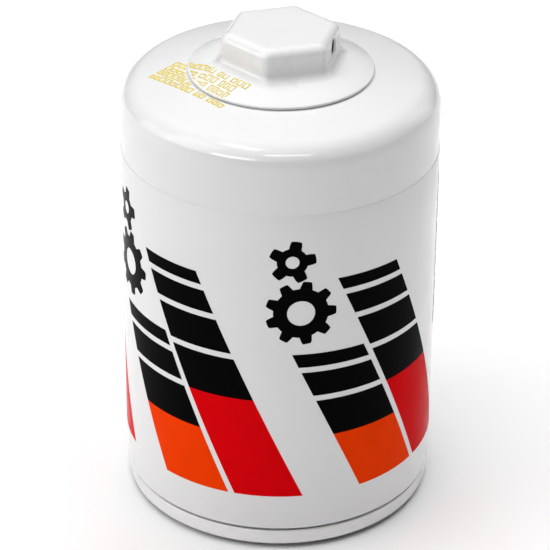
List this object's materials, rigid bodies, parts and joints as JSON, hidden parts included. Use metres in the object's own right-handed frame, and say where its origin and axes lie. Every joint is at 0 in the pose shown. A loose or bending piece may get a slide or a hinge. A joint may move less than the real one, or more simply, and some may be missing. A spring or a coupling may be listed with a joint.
{
  "type": "oil filter",
  "caption": "Spin-on oil filter: painted steel can, hexagonal wrench cap drilled for a lock wire, rolled base seam, rubber gasket, pleated element and valves inside.",
  "frame": {"origin": "centre of the gasket's sealing face, which is the filter's lowest plane as it stands", "axes": "+Z along the filter's axis, from the gasket up to the wrench nut; the lock-wire hole's axis is 14.5 degrees clockwise from +X"},
  "size_m": [0.0762, 0.0762, 0.1221],
  "materials": {
    "white_paint": "semi-gloss white powder coat with printed bars",
    "white_paint_nut": "semi-gloss white powder coat",
    "orange_ink": "gloss printed ink",
    "red_ink": "gloss printed ink",
    "black_ink": "gloss printed ink",
    "grey_ink": "gloss printed ink",
    "yellow_ink": "ink-jet dots",
    "bare_steel": "bare rolled tin-plated sheet",
    "plate_steel": "oiled pressed steel plate",
    "nitrile_rubber": "satin black moulded rubber",
    "silicone_rubber": "satin moulded silicone",
    "tinplate": "bright tin-plated sheet",
    "plastisol": "cured plastisol adhesive",
    "zinc_steel": "zinc-plated pressed steel",
    "filter_paper": "resin-treated pleated paper",
    "spring_steel": "oiled spring wire"
  },
  "bodies": {
    "shell": {"canister": "white_paint", "wrench_nut": "white_paint_nut", "seaming_lid": "bare_steel", "base_plate": "plate_steel", "sealing_gasket": "nitrile_rubber", "drain_back_hub": "silicone_rubber", "element_spring": "spring_steel"},
    "drain_back_skirt": {"drain_back_lip": "silicone_rubber"},
    "element": {"lower_end_cap": "tinplate", "upper_end_cap": "tinplate", "lower_potting": "plastisol", "upper_potting": "plastisol", "center_tube": "zinc_steel", "pleated_media": "filter_paper", "media_seam_clip": "tinplate", "bypass_seat": "zinc_steel", "bypass_cage": "zinc_steel", "bypass_spring": "spring_steel"},
    "poppet": {"bypass_poppet": "zinc_steel", "bypass_seal": "nitrile_rubber"}
  },
  "joints": [
    {"name": "drain_back_lift", "type": "slide", "parent": "shell", "child": "drain_back_skirt", "axis": [0, 0, 1], "range_m": [0, 0.002], "stiffness_N_per_m": 50, "springref_m": -0.002},
    {"name": "element_float", "type": "slide", "parent": "shell", "child": "element", "axis": [0, 0, 1], "range_m": [0, 0.001], "stiffness_N_per_m": 2000, "springref_m": -0.004, "deforming": ["element_spring"]},
    {"name": "bypass_open", "type": "slide", "parent": "element", "child": "poppet", "axis": [0, 0, -1], "range_m": [0, 0.004], "stiffness_N_per_m": 300, "springref_m": -0.003, "deforming": ["bypass_spring"]}
  ]
}
